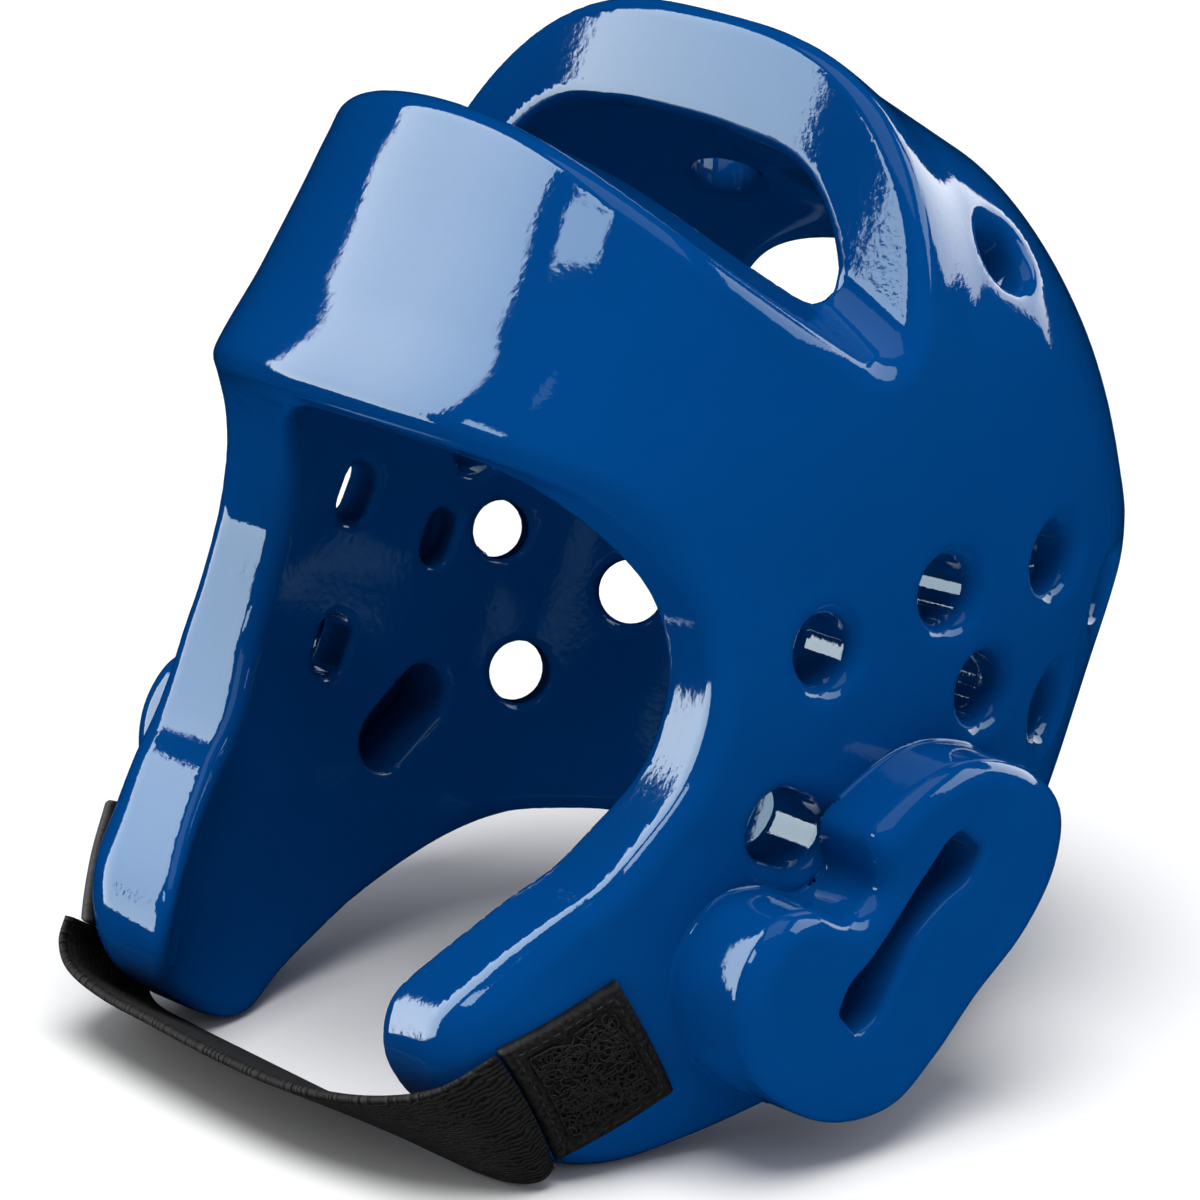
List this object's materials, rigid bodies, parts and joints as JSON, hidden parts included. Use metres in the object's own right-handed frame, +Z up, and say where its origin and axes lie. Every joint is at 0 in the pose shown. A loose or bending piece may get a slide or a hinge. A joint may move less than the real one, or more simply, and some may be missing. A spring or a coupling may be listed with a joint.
{
  "type": "sparring headgear",
  "caption": "Open-face sparring head guard: one thick foam shell with vents and a crescent opening over the forehead, raised ear pads and a chin strap.",
  "frame": {"origin": "middle of the guard's box on the surface it lies on", "axes": "+Z up, the face looks along -Y and upwards, +X is the wearer's left"},
  "size_m": [0.234, 0.2644, 0.2471],
  "materials": {
    "foam_skin": "glossy vinyl skin dipped over soft foam, deep blue",
    "webbing": "black woven elastic webbing",
    "loop_tape": "black looped fastening tape with a stitched border"
  },
  "bodies": {
    "root": {"shell": "foam_skin", "ear_pad_left": "foam_skin", "ear_pad_right": "foam_skin", "chin_strap": "webbing", "strap_patch_left": "loop_tape", "strap_patch_right": "loop_tape"}
  },
  "joints": []
}
